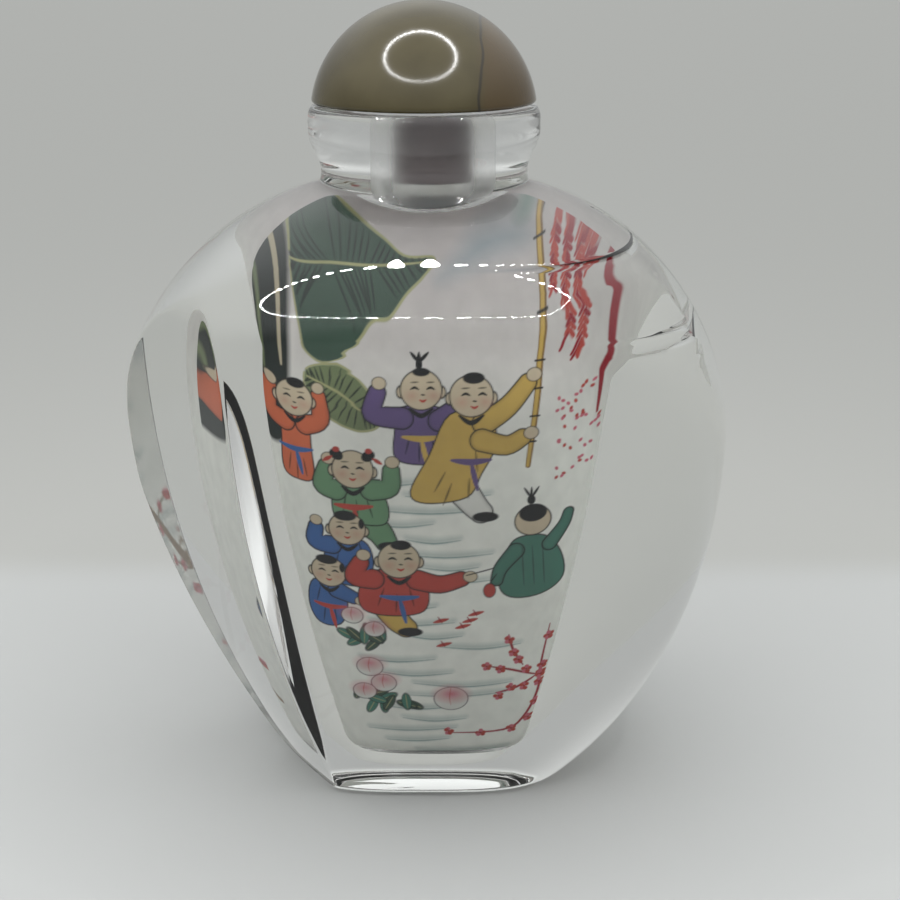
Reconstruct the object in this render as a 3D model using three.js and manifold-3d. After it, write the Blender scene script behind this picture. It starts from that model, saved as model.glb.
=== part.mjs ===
// Snuff bottle: a hollow glass body with four hand-ground bevels, and a stopper that lifts off.
// Millimetres, +Z up, front towards -Y. The origin is the middle of the foot, on the surface it stands on.
// The stopper is two pieces, a domed hardstone cap and the plug below it that drops into the bore.

import * as THREE from "three";
import { mergeVertices } from "three/addons/utils/BufferGeometryUtils.js";
import Module from "manifold-3d";

const wasm = await Module();
wasm.setup();

// Driving dimensions
const GAP = 0.3; // clearance between pieces that rest on each other

const BODY_HALF_WIDTH = 31.2;
const WIDEST_AT = 40; // height of the widest place
const CROWN = 26; // height of the front outline's arc above the widest place
const ROOT = 45.5; // height of the same arc below it, continued past the foot
const PANEL_HALF_DEPTH = 22.5;
const DEEPEST_AT = 52.9; // height of the fullest place of the front panel
const SHOULDER_CURVE = 4.3; // radius of the front panel's curve above it
const PANEL_CURVE = 116.5; // and below it
const SHOULDER_STRAIGHT_FROM = 6.4; // how far above it the shoulder runs on straight
const BODY_TOP = 64;
const FOOT_ROUNDING = 1.2;
// Exponents of the oval sections towards the front and the sides: 2 is an ellipse, more is squarer
const FOOT_FLATNESS = 3.6;
const PANEL_FLATNESS = 4.5;
const PANEL_FROM = 30;
const SIDE_ROUNDNESS = 2.5;
const SHOULDER_FLATNESS = 2;
const FLATNESS_FADES_FROM = 56;
const FLATNESS_FADES_TO = 64.7;

// Ground bevels, one pair on the left and a narrower pair on the right.
// turn: degrees from the front; depth: distance from the axis at its fullest height; lean: how its
// fullest height climbs across it; lower, upper: radii of its barrel curve below and above; crown:
// how fast it curves away across, from its fullest line at crownAt.
const LEFT_BEVEL = {
  side: -1,
  turn: 54.3,
  depth: 27.54,
  height: 53.2,
  lean: 0.07,
  lower: 98.5,
  upper: 5.25,
  crown: 0,
  crownAt: 0,
};
const RIGHT_BEVEL = {
  side: 1,
  turn: 49.2,
  depth: 31,
  height: 45.5,
  lean: -0.3,
  lower: 65,
  upper: 13.35,
  crown: 0.03,
  crownAt: 5.45,
};
const BEVEL_REACH = 60; // size of the grinding shapes, well past the body
const BEVEL_TOP = 24; // how far above its fullest height a bevel's curve is followed
const BEVEL_HALF_SPAN = 32;

const NECK_WAIST_RADIUS = 10.45;
const LIP_RADIUS = 11.65;
const NECK_TOP = 72;
const FILLET = { width: 2.4, height: 3, top: 65.6 }; // hollow curve from the neck to the shoulder
const NECK_ROOT = FILLET.top - 0.96 * FILLET.height;
const LIP_SWELL = { from: 65.8, to: 69.6 };
const LIP_ROUNDING = { width: 0.55, height: 1.2 };

// The bore and the hollow are drilled off the axis, to the right
const BORE_OFFSET = 0.6;
const HOLLOW_OFFSET = 0.9;
const BORE_RADIUS = 4.2;
const HOLLOW_FLOOR = 5.4;
const HOLLOW_FLOOR_ROUNDING = 2.2;
const HOLLOW_FLOOR_HALF_WIDTH = 8.8;
const HOLLOW_HALF_WIDTH = 16;
const HOLLOW_WIDEST_AT = 45;
const HOLLOW_TOP = 60.2;
const HOLLOW_FLATNESS = 2.6;
const FRONT_WALL = 5;

const CAP_RADIUS = 11.35;
const CAP_CENTRE_BELOW_LIP = 1.2;
const CAP_EDGE_ROUNDING = 0.35;
const PLUG_RADIUS = 3.8;
const PLUG_LENGTH = 7.2;
const PLUG_END_ROUNDING = 0.6;

const BODY_SIDES = 52;
const HOLLOW_SIDES = 36;
const ROUND_SIDES = 44; // of the neck, the cap and the plug

const smoothstep = (t) => {
  const c = Math.min(Math.max(t, 0), 1);
  return c * c * (3 - 2 * c);
};
const steps = (from, to, count) =>
  Array.from({ length: count + 1 }, (_, i) => from + ((to - from) * i) / count);
// What a quarter-round of this size takes off an edge, at a given distance in from the edge's face
const roundingLoss = (size, distance) =>
  distance >= size ? 0 : size * (1 - Math.sqrt(1 - (1 - distance / size) ** 2));

// Outline of the body as a front view, a side view and the flatness of its level sections
function bodyHalfWidth(z) {
  const t = (z - WIDEST_AT) / (z > WIDEST_AT ? CROWN : ROOT);
  return BODY_HALF_WIDTH * Math.sqrt(1 - t * t) - roundingLoss(FOOT_ROUNDING, z);
}
function bodyHalfDepth(z) {
  const rise = z - DEEPEST_AT;
  if (rise <= 0) return PANEL_HALF_DEPTH - rise ** 2 / (2 * PANEL_CURVE) - roundingLoss(FOOT_ROUNDING, z);
  const curved = Math.min(rise, SHOULDER_STRAIGHT_FROM);
  return PANEL_HALF_DEPTH - (curved ** 2 + 2 * curved * (rise - curved)) / (2 * SHOULDER_CURVE);
}
function bodyFlatness(z) {
  const low = FOOT_FLATNESS + (PANEL_FLATNESS - FOOT_FLATNESS) * smoothstep(z / PANEL_FROM);
  const fade = smoothstep((z - FLATNESS_FADES_FROM) / (FLATNESS_FADES_TO - FLATNESS_FADES_FROM));
  return low + (SHOULDER_FLATNESS - low) * fade;
}
const bodySection = (z) => ({
  z,
  centre: 0,
  halfWidth: bodyHalfWidth(z),
  halfDepth: bodyHalfDepth(z),
  front: bodyFlatness(z),
  side: Math.min(bodyFlatness(z), SIDE_ROUNDNESS),
});

// Outline of the hollow: a panel that follows the front wall, domed over towards the bore
function hollowSection(z) {
  const climb = (z - HOLLOW_FLOOR) / (HOLLOW_WIDEST_AT - HOLLOW_FLOOR);
  const spread = 1 - Math.max(1 - climb, 0) ** 1.5;
  const width = HOLLOW_FLOOR_HALF_WIDTH + (HOLLOW_HALF_WIDTH - HOLLOW_FLOOR_HALF_WIDTH) * spread;
  const depth = bodyHalfDepth(Math.min(z, HOLLOW_WIDEST_AT)) - FRONT_WALL;
  const t = Math.max(z - HOLLOW_WIDEST_AT, 0) / (HOLLOW_TOP - HOLLOW_WIDEST_AT);
  const dome = Math.sqrt(1 - Math.min(t, 1) ** 2);
  const loss = roundingLoss(HOLLOW_FLOOR_ROUNDING, z - HOLLOW_FLOOR);
  return {
    z,
    centre: BORE_OFFSET + (HOLLOW_OFFSET - BORE_OFFSET) * dome,
    halfWidth: BORE_RADIUS + (width - BORE_RADIUS) * dome - loss,
    halfDepth: BORE_RADIUS + (depth - BORE_RADIUS) * dome - loss,
    front: 2 + (HOLLOW_FLATNESS - 2) * dome,
    side: 2 + (HOLLOW_FLATNESS - 2) * dome,
  };
}

// Turns positions and triangles into a merged, closed geometry
function closedGeometry(positions, triangles) {
  const geometry = new THREE.BufferGeometry();
  geometry.setAttribute("position", new THREE.Float32BufferAttribute(positions, 3));
  geometry.setIndex(triangles);
  return geometry;
}

// Skin over level oval sections, closed flat at both ends
function loft(sections, sides) {
  const positions = [];
  const triangles = [];
  for (const s of sections) {
    for (let i = 0; i < sides; i++) {
      const angle = (2 * Math.PI * i) / sides;
      const c = Math.cos(angle);
      const d = Math.sin(angle);
      positions.push(
        s.centre + s.halfWidth * Math.sign(c) * Math.abs(c) ** (2 / s.front),
        s.halfDepth * Math.sign(d) * Math.abs(d) ** (2 / s.side),
        s.z,
      );
    }
  }
  for (let level = 0; level + 1 < sections.length; level++) {
    for (let i = 0; i < sides; i++) {
      const a = level * sides + i;
      const b = level * sides + ((i + 1) % sides);
      triangles.push(a, b, b + sides, a, b + sides, a + sides);
    }
  }
  const last = (sections.length - 1) * sides;
  const ends = positions.length / 3;
  positions.push(sections[0].centre, 0, sections[0].z);
  positions.push(sections.at(-1).centre, 0, sections.at(-1).z);
  for (let i = 0; i < sides; i++) {
    const j = (i + 1) % sides;
    triangles.push(ends, j, i, ends + 1, last + i, last + j);
  }
  return closedGeometry(positions, triangles);
}

// Turned shape; the profile runs from the axis, up the outside and back to the axis
function turned(profile) {
  const points = profile.map(([radius, z]) => new THREE.Vector2(radius, z));
  return new THREE.LatheGeometry(points, ROUND_SIDES).rotateX(Math.PI / 2);
}

// A mirrored geometry has its faces turned inwards, and reversing them puts that right
function solidOf(geometry, mirrored = false) {
  const plain = geometry.clone();
  plain.deleteAttribute("normal");
  plain.deleteAttribute("uv");
  const merged = mergeVertices(plain, 1e-3);
  const triVerts = new Uint32Array(merged.index.array);
  if (mirrored) triVerts.reverse();
  const vertProperties = merged.attributes.position.array;
  return new wasm.Manifold(new wasm.Mesh({ numProp: 3, vertProperties, triVerts }));
}

function geometryOf(solid) {
  const mesh = solid.getMesh();
  const geometry = closedGeometry(mesh.vertProperties, [...mesh.triVerts]);
  geometry.computeVertexNormals();
  return geometry;
}

// The material that grinding one bevel takes away; face is -1 at the front and 1 at the back.
// The block's near side is a grid over rise and across that follows the bevel's curve.
function bevelCut(bevel, face) {
  const rises = [...steps(-BEVEL_REACH, 0, 10), ...steps(2, BEVEL_TOP, 11)];
  const spans = bevel.crown > 0 ? steps(-BEVEL_HALF_SPAN, BEVEL_HALF_SPAN, 16) : [-BEVEL_REACH, BEVEL_REACH];
  const curve = (rise, across) =>
    bevel.depth -
    rise ** 2 / (2 * (rise > 0 ? bevel.upper : bevel.lower)) -
    bevel.crown * (across - bevel.crownAt) ** 2;
  const positions = [];
  for (const rise of rises) {
    for (const across of spans) {
      positions.push(rise, curve(rise, across), across, rise, BEVEL_REACH, across);
    }
  }
  const near = (i, j) => 2 * (i * spans.length + j);
  const far = (i, j) => near(i, j) + 1;
  const triangles = [];
  const quad = (a, b, c, d) => triangles.push(a, b, c, a, c, d);
  const lastRise = rises.length - 1;
  const lastSpan = spans.length - 1;
  for (let i = 0; i < lastRise; i++) {
    for (let j = 0; j < lastSpan; j++) {
      quad(near(i, j), near(i + 1, j), near(i + 1, j + 1), near(i, j + 1));
      quad(far(i, j), far(i, j + 1), far(i + 1, j + 1), far(i + 1, j));
    }
    quad(near(i, 0), far(i, 0), far(i + 1, 0), near(i + 1, 0));
    quad(near(i, lastSpan), near(i + 1, lastSpan), far(i + 1, lastSpan), far(i, lastSpan));
  }
  for (let j = 0; j < lastSpan; j++) {
    quad(near(0, j), near(0, j + 1), far(0, j + 1), far(0, j));
    quad(near(lastRise, j), far(lastRise, j), far(lastRise, j + 1), near(lastRise, j + 1));
  }
  const turn = THREE.MathUtils.degToRad(bevel.turn);
  const up = new THREE.Vector3(0, 0, 1);
  const outward = new THREE.Vector3(bevel.side * Math.sin(turn), face * Math.cos(turn), 0);
  const across = new THREE.Vector3(bevel.side * Math.cos(turn), -face * Math.sin(turn), bevel.lean);
  const placing = new THREE.Matrix4().makeBasis(up, outward, across).setPosition(0, 0, bevel.height);
  const block = closedGeometry(positions, triangles).applyMatrix4(placing);
  return solidOf(block, placing.determinant() < 0);
}

function neckRadius(z) {
  if (z < FILLET.top) {
    const drop = (FILLET.top - z) / FILLET.height;
    return NECK_WAIST_RADIUS + FILLET.width * (1 - Math.sqrt(1 - drop * drop));
  }
  const t = Math.min(Math.max((z - LIP_SWELL.from) / (LIP_SWELL.to - LIP_SWELL.from), 0), 1);
  const swell = (1 - Math.cos(Math.PI * t)) / 2;
  const edge = roundingLoss(LIP_ROUNDING.height, NECK_TOP - z) / LIP_ROUNDING.height;
  return NECK_WAIST_RADIUS + (LIP_RADIUS - NECK_WAIST_RADIUS) * swell - LIP_ROUNDING.width * edge;
}

function bottleBody() {
  const footLevels = [0, 0.15, 0.55, FOOT_ROUNDING];
  const panelLevels = steps(5, 50, 8);
  const shoulderLevels = [51.6, 53, ...steps(54.2, 63, 10)];
  const levels = [...footLevels, ...panelLevels, ...shoulderLevels, BODY_TOP];
  let body = solidOf(loft(levels.map(bodySection), BODY_SIDES));
  for (const bevel of [LEFT_BEVEL, RIGHT_BEVEL]) {
    body = body.subtract(bevelCut(bevel, -1)).subtract(bevelCut(bevel, 1));
  }
  const neckLevels = [...steps(NECK_ROOT, FILLET.top, 5), ...steps(66.4, 70.4, 5), 71.2, 71.7, NECK_TOP];
  const neck = turned([[0, NECK_ROOT], ...neckLevels.map((z) => [neckRadius(z), z]), [0, NECK_TOP]]);
  body = body.add(solidOf(neck));
  const floorLevels = [0, 0.3, 1, HOLLOW_FLOOR_ROUNDING].map((rise) => HOLLOW_FLOOR + rise);
  const domeLevels = steps(1 / 6, 1, 6).map(
    (t) => HOLLOW_WIDEST_AT + (HOLLOW_TOP - HOLLOW_WIDEST_AT) * Math.sin((Math.PI / 2) * t),
  );
  const hollowLevels = [...floorLevels, ...steps(11, HOLLOW_WIDEST_AT, 5), ...domeLevels];
  const hollow = solidOf(loft(hollowLevels.map(hollowSection), HOLLOW_SIDES));
  const bore = turned([
    [0, HOLLOW_TOP - 1],
    [BORE_RADIUS, HOLLOW_TOP - 1],
    [BORE_RADIUS, NECK_TOP + 1],
    [0, NECK_TOP + 1],
  ]).translate(BORE_OFFSET, 0, 0);
  return geometryOf(body.subtract(hollow).subtract(solidOf(bore)));
}

function stopperCap() {
  const seat = NECK_TOP + GAP;
  const centre = NECK_TOP - CAP_CENTRE_BELOW_LIP;
  const low = Math.asin((seat + CAP_EDGE_ROUNDING - centre) / CAP_RADIUS);
  const arc = steps(low, Math.PI / 2, 12).map((a) => [
    Math.max(CAP_RADIUS * Math.cos(a), 0),
    centre + CAP_RADIUS * Math.sin(a),
  ]);
  arc[arc.length - 1][0] = 0;
  return turned([[0, seat], [arc[0][0] - CAP_EDGE_ROUNDING, seat], ...arc]);
}

function stopperPlug() {
  const top = NECK_TOP;
  const bottom = top - PLUG_LENGTH;
  return turned([
    [0, bottom],
    [PLUG_RADIUS - PLUG_END_ROUNDING, bottom],
    [PLUG_RADIUS, bottom + PLUG_END_ROUNDING],
    [PLUG_RADIUS, top],
    [0, top],
  ]).translate(BORE_OFFSET, 0, 0);
}

const glass = new THREE.MeshStandardMaterial({
  color: 0xdfe4e0,
  roughness: 0.04,
  metalness: 0,
  transparent: true,
  opacity: 0.35,
});
const hardstone = new THREE.MeshStandardMaterial({ color: 0x5c543c, roughness: 0.18, metalness: 0 });
const plugStuff = new THREE.MeshStandardMaterial({ color: 0x5a4d50, roughness: 0.6, metalness: 0 });

function piece(name, geometry, material) {
  const mesh = new THREE.Mesh(geometry, material);
  mesh.name = name;
  return mesh;
}

const snuffBottle = new THREE.Group();
snuffBottle.add(piece("bottle_body", bottleBody(), glass));
const stopper = new THREE.Group();
stopper.add(piece("stopper_cap", stopperCap(), hardstone));
stopper.add(piece("stopper_plug", stopperPlug(), plugStuff));
snuffBottle.add(stopper);

export default snuffBottle;
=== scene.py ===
"""Snuff bottle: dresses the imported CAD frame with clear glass, the picture inside it, and the stopper.

Metres, +Z up, front towards -Y, origin at the middle of the foot. Sizes below are in millimetres,
as in the CAD source, and MM turns them into metres where a mesh is made.
"""

import math

import bpy
import numpy as np
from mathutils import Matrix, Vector


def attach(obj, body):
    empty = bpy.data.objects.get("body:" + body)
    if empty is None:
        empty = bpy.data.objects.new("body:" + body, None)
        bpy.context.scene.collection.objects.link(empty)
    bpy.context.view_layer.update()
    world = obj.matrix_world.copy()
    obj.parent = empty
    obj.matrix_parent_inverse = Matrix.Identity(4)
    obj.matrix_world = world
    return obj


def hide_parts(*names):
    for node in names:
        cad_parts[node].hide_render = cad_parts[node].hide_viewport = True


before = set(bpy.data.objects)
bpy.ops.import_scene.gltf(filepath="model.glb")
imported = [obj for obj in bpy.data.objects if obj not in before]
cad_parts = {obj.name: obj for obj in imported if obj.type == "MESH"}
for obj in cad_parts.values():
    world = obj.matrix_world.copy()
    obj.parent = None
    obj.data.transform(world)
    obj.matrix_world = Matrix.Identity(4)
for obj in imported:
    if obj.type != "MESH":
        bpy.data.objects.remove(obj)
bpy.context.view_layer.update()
MM = 0.001

# Outer form of the glass body, the same driving dimensions as the CAD source
BODY_HALF_WIDTH = 31.2
WIDEST_AT = 40
CROWN = 26
ROOT = 45.5
PANEL_HALF_DEPTH = 22.5
DEEPEST_AT = 52.9
SHOULDER_CURVE = 4.3
PANEL_CURVE = 116.5
SHOULDER_STRAIGHT_FROM = 6.4
FOOT_ROUNDING = 1.2
FOOT_FLATNESS = 3.6
PANEL_FLATNESS = 4.5
PANEL_FROM = 30
SIDE_ROUNDNESS = 2.5
SHOULDER_FLATNESS = 2
FLATNESS_FADES_FROM = 56
LEFT_BEVEL = {"side": -1, "turn": 54.3, "depth": 27.54, "height": 53.2, "lean": 0.07, "lower": 98.5,
              "upper": 5.25, "crown": 0, "crown_at": 0}
RIGHT_BEVEL = {"side": 1, "turn": 49.2, "depth": 31.0, "height": 45.5, "lean": -0.3, "lower": 65,
               "upper": 13.35, "crown": 0.03, "crown_at": 5.45}
NECK_WAIST_RADIUS = 10.45
LIP_RADIUS = 11.65
NECK_TOP = 72
FILLET = {"width": 2.4, "height": 3.0, "top": 65.6}
NECK_ROOT = FILLET["top"] - 0.96 * FILLET["height"]
LIP_SWELL = {"from": 65.8, "to": 69.6}
LIP_ROUNDING = {"width": 0.55, "height": 1.2}

# The bore and the hollow
BORE_OFFSET = 0.6
HOLLOW_OFFSET = 0.9
BORE_RADIUS = 4.2
HOLLOW_FLOOR = 5.4
HOLLOW_FLOOR_ROUNDING = 2.2
HOLLOW_FLOOR_HALF_WIDTH = 8.8
HOLLOW_HALF_WIDTH = 16
HOLLOW_WIDEST_AT = 45
HOLLOW_TOP = 60.2
HOLLOW_FLATNESS = 2.6
FRONT_WALL = 5

CAP_RADIUS = 11.35
CAP_CENTRE = NECK_TOP - 1.2
CAP_SEAT = NECK_TOP + 0.3
CAP_EDGE_ROUNDING = 0.35
PLUG_RADIUS = 3.8
PLUG_LENGTH = 7.2
PLUG_END_ROUNDING = 0.6

# Softness of the polished edges
RIDGE_SOFTNESS = 0.22
NECK_SOFTNESS = 0.9


# ---------------------------------------------------------------- small helpers

def smoothstep(t):
    c = np.clip(t, 0, 1)
    return c * c * (3 - 2 * c)


def rounding_loss(size, distance):
    """What a quarter-round of this size takes off an edge, at a distance in from the edge's face."""
    inside = np.clip(1 - np.asarray(distance, float) / size, 0, 1)
    return size * (1 - np.sqrt(1 - inside**2))


def quarter(size, count):
    """Distances in from a face that step evenly round a quarter-round of this size."""
    return [size * (1 - math.cos(math.pi / 2 * i / count)) for i in range(count)]


def soft_min(a, b, softness):
    blend = np.maximum(softness - np.abs(a - b), 0) / softness
    return np.minimum(a, b) - blend**2 * softness / 4


def soft_max(a, b, softness):
    return -soft_min(-a, -b, softness)


def new_object(name, vertices, faces, smooth=True):
    mesh = bpy.data.meshes.new(name)
    mesh.from_pydata([tuple(v) for v in vertices], [], faces)
    mesh.polygons.foreach_set("use_smooth", [smooth] * len(mesh.polygons))
    mesh.update()
    obj = bpy.data.objects.new(name, mesh)
    bpy.context.scene.collection.objects.link(obj)
    return obj


def ring_faces(rows, columns, inward=False):
    """Quads between rows of a closed skin, facing outwards unless inward."""
    faces = []
    for r in range(rows - 1):
        for c in range(columns):
            a, b = r * columns + c, r * columns + (c + 1) % columns
            quad = (a, b, b + columns, a + columns)
            faces.append(quad[::-1] if inward else quad)
    return faces


# ---------------------------------------------------------------- form of the glass

def body_half_width(z):
    t = (z - WIDEST_AT) / np.where(z > WIDEST_AT, CROWN, ROOT)
    return BODY_HALF_WIDTH * np.sqrt(np.clip(1 - t * t, 1e-6, 1)) - rounding_loss(FOOT_ROUNDING, z)


def body_half_depth(z):
    rise = z - DEEPEST_AT
    curved = np.minimum(rise, SHOULDER_STRAIGHT_FROM)
    above = (curved**2 + 2 * curved * (rise - curved)) / (2 * SHOULDER_CURVE)
    loss = np.where(rise > 0, above, rise**2 / (2 * PANEL_CURVE))
    return np.maximum(PANEL_HALF_DEPTH - loss - rounding_loss(FOOT_ROUNDING, z), 0.5)


def body_flatness(z):
    """Exponents of the level sections towards the front and towards the sides; 2 is an ellipse."""
    low = FOOT_FLATNESS + (PANEL_FLATNESS - FOOT_FLATNESS) * smoothstep(z / PANEL_FROM)
    fade = smoothstep((z - FLATNESS_FADES_FROM) / (NECK_ROOT + 2 - FLATNESS_FADES_FROM))
    front = low + (SHOULDER_FLATNESS - low) * fade
    return front, np.minimum(front, SIDE_ROUNDNESS)


def oval_radius(angle, z):
    """Distance from the axis to the unground body, found by Newton's steps."""
    front, side = body_flatness(z)
    across = np.abs(np.cos(angle)) / body_half_width(z)
    along = np.abs(np.sin(angle)) / body_half_depth(z)
    radius = 1 / np.maximum(across, along)
    for _ in range(9):
        x, y = (across * radius) ** front, (along * radius) ** side
        radius = radius * (1 - (x + y - 1) / (front * x + side * y))
    return radius


def bevel_radius(bevel, face, angle, z):
    """Distance from the axis to one ground bevel; face is -1 at the front and 1 at the back."""
    turn = math.radians(bevel["turn"])
    outward = bevel["side"] * np.cos(angle) * math.sin(turn) + face * np.sin(angle) * math.cos(turn)
    across = bevel["side"] * np.cos(angle) * math.cos(turn) - face * np.sin(angle) * math.sin(turn)
    faces_it = outward > 0.4
    radius = np.full(np.shape(angle), 60.0)
    for _ in range(14):
        rise = z - bevel["height"] - bevel["lean"] * across * radius
        curve = np.where(rise > 0, bevel["upper"], bevel["lower"])
        bow = across * radius - bevel["crown_at"]
        left = outward * radius - bevel["depth"] + rise**2 / (2 * curve) + bevel["crown"] * bow**2
        slope = outward + across * (2 * bevel["crown"] * bow - bevel["lean"] * rise / curve)
        radius = np.where(faces_it, radius - left / np.maximum(slope, 0.05), 1e3)
    return np.clip(radius, 0.5, 1e3)


def neck_radius(z):
    drop = np.clip((FILLET["top"] - z) / FILLET["height"], 0, 1)
    low = NECK_WAIST_RADIUS + FILLET["width"] * (1 - np.sqrt(1 - drop**2))
    t = np.clip((z - LIP_SWELL["from"]) / (LIP_SWELL["to"] - LIP_SWELL["from"]), 0, 1)
    swell = (1 - np.cos(math.pi * t)) / 2
    edge = rounding_loss(LIP_ROUNDING["height"], NECK_TOP - z) / LIP_ROUNDING["height"]
    high = NECK_WAIST_RADIUS + (LIP_RADIUS - NECK_WAIST_RADIUS) * swell - LIP_ROUNDING["width"] * edge
    return np.where(z < FILLET["top"], low, high)


# The bevels in the order of their angle about the axis, from the front right
BEVELS = [(RIGHT_BEVEL, -1), (RIGHT_BEVEL, 1), (LEFT_BEVEL, 1), (LEFT_BEVEL, -1)]


def outer_radius(angle, z):
    """Distance from the axis to the finished glass surface."""
    ground = oval_radius(angle, z)
    for bevel, face in BEVELS:
        ground = soft_min(ground, bevel_radius(bevel, face, angle, z), RIDGE_SOFTNESS)
    ground = np.where(z < WIDEST_AT + CROWN, ground, 0)
    neck = np.where(z > NECK_ROOT - 0.5, neck_radius(np.maximum(z, NECK_ROOT)), 0)
    drop = np.clip((NECK_ROOT + 1 - z) / 1.5, 0, 1)
    return np.where(z > NECK_ROOT - 0.5, soft_max(ground, neck - 3 * drop, NECK_SOFTNESS), ground)


def ridge_angles(z):
    """The two angles where each bevel starts and ends at this height, as eight rising angles."""
    least = math.radians(3.5)
    angles = []
    for quadrant, (bevel, face) in enumerate(BEVELS):
        start = math.pi / 2 * (quadrant - 1)
        fine = np.linspace(start + 0.02, start + math.pi / 2 - 0.02, 1800)
        left_over = bevel_radius(bevel, face, fine, z) - oval_radius(fine, z)
        cut = fine[left_over < 0]
        middle = fine[np.argmin(left_over)]
        low, high = (cut[0], cut[-1]) if len(cut) else (middle, middle)
        angles += [min(low, (low + high) / 2 - least), max(high, (low + high) / 2 + least)]
    return np.array(angles)


BEVEL_COLUMNS = 28
PANEL_COLUMNS = 58
SIDE_COLUMNS = 14


def column_angles(z):
    """Angles of one row of vertices, crowded at the ridges so that they stay crisp."""
    ridges = ridge_angles(z)
    counts = [BEVEL_COLUMNS, SIDE_COLUMNS, BEVEL_COLUMNS, PANEL_COLUMNS] * 2
    angles = []
    for i, count in enumerate(counts):
        start = ridges[i]
        end = ridges[i + 1] if i < 7 else ridges[0] + 2 * math.pi
        u = np.arange(count) / count
        angles.append(start + (end - start) * (u - 0.8 * np.sin(2 * math.pi * u) / (2 * math.pi)))
    return np.concatenate(angles)


def hollow_section(z):
    """Centre, half width, half depth and flatness of the hollow at this height."""
    climb = (z - HOLLOW_FLOOR) / (HOLLOW_WIDEST_AT - HOLLOW_FLOOR)
    spread = 1 - np.clip(1 - climb, 0, 1) ** 1.5
    width = HOLLOW_FLOOR_HALF_WIDTH + (HOLLOW_HALF_WIDTH - HOLLOW_FLOOR_HALF_WIDTH) * spread
    depth = body_half_depth(np.minimum(z, HOLLOW_WIDEST_AT)) - FRONT_WALL
    t = np.clip((z - HOLLOW_WIDEST_AT) / (HOLLOW_TOP - HOLLOW_WIDEST_AT), 0, 1)
    dome = np.sqrt(1 - t**2)
    loss = rounding_loss(HOLLOW_FLOOR_ROUNDING, z - HOLLOW_FLOOR)
    centre = BORE_OFFSET + (HOLLOW_OFFSET - BORE_OFFSET) * dome
    half_width = BORE_RADIUS + (width - BORE_RADIUS) * dome - loss
    half_depth = BORE_RADIUS + (depth - BORE_RADIUS) * dome - loss
    return centre, half_width, half_depth, 2 + (HOLLOW_FLATNESS - 2) * dome


def glass_body(clear, ground):
    """The whole glass: polished outside, and the drilled and ground hollow that opens at the lip."""
    foot_rows = quarter(FOOT_ROUNDING, 8)
    lip_rows = [NECK_TOP - d for d in quarter(LIP_ROUNDING["height"], 8)][::-1]
    outer_rows = np.concatenate(
        [
            foot_rows,
            np.linspace(FOOT_ROUNDING, 44, 50)[:-1],
            np.linspace(44, 67, 84)[:-1],
            np.linspace(67, NECK_TOP - LIP_ROUNDING["height"], 12)[:-1],
            lip_rows,
        ]
    )
    vertices = []
    for z in outer_rows:
        angle = column_angles(min(z, WIDEST_AT + CROWN - 1.5))
        radius = outer_radius(angle, np.full(angle.shape, z))
        vertices += [(r * math.cos(a), r * math.sin(a), z) for r, a in zip(radius, angle)]
    columns = len(angle)
    faces = ring_faces(len(outer_rows), columns)
    outer_count = len(vertices)

    dome_rise = (HOLLOW_TOP - HOLLOW_WIDEST_AT) * np.sin(np.linspace(0, math.pi / 2, 44))
    inner_rows = np.concatenate(
        [
            [HOLLOW_FLOOR + d for d in quarter(HOLLOW_FLOOR_ROUNDING, 10)],
            np.linspace(HOLLOW_FLOOR + HOLLOW_FLOOR_ROUNDING, HOLLOW_WIDEST_AT, 60)[:-1],
            HOLLOW_WIDEST_AT + dome_rise,
            np.linspace(HOLLOW_TOP + 0.3, NECK_TOP, 16),
        ]
    )
    turn = 2 * math.pi * np.arange(columns) / columns
    for z in inner_rows:
        centre, width, depth, n = hollow_section(z)
        c, s = np.cos(turn), np.sin(turn)
        xs = centre + width * np.sign(c) * np.abs(c) ** (2 / n)
        ys = depth * np.sign(s) * np.abs(s) ** (2 / n)
        vertices += [(x, y, z) for x, y in zip(xs, ys)]
    skin = ring_faces(len(inner_rows), columns, inward=True)
    inner = [tuple(i + outer_count for i in face) for face in skin]
    ground_from = len(faces)
    faces += inner
    ground_to = len(faces)

    # Lip: joins the last outer row to the last inner row, which starts a quarter turn later
    first_outer = outer_count - columns
    first_inner = outer_count + (len(inner_rows) - 1) * columns
    shift = int(np.argmin(np.abs(np.mod(column_angles(64.5) + math.pi, 2 * math.pi) - math.pi)))
    for c in range(columns):
        a, b = first_outer + (c + shift) % columns, first_outer + (c + shift + 1) % columns
        faces.append((a, b, first_inner + (c + 1) % columns, first_inner + c))
    # Foot and hollow floor
    vertices += [(0, 0, 0), (HOLLOW_OFFSET, 0, HOLLOW_FLOOR)]
    for c in range(columns):
        faces.append((len(vertices) - 2, (c + 1) % columns, c))
    floor_from = len(faces)
    for c in range(columns):
        faces.append((len(vertices) - 1, outer_count + c, outer_count + (c + 1) % columns))
    body = new_object("glass_body", np.array(vertices) * MM, faces)
    body.data.materials.append(clear)
    body.data.materials.append(ground)
    slots = np.zeros(len(faces), int)
    slots[ground_from:ground_to] = 1
    slots[floor_from:] = 1
    body.data.polygons.foreach_set("material_index", slots)
    return body


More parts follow.
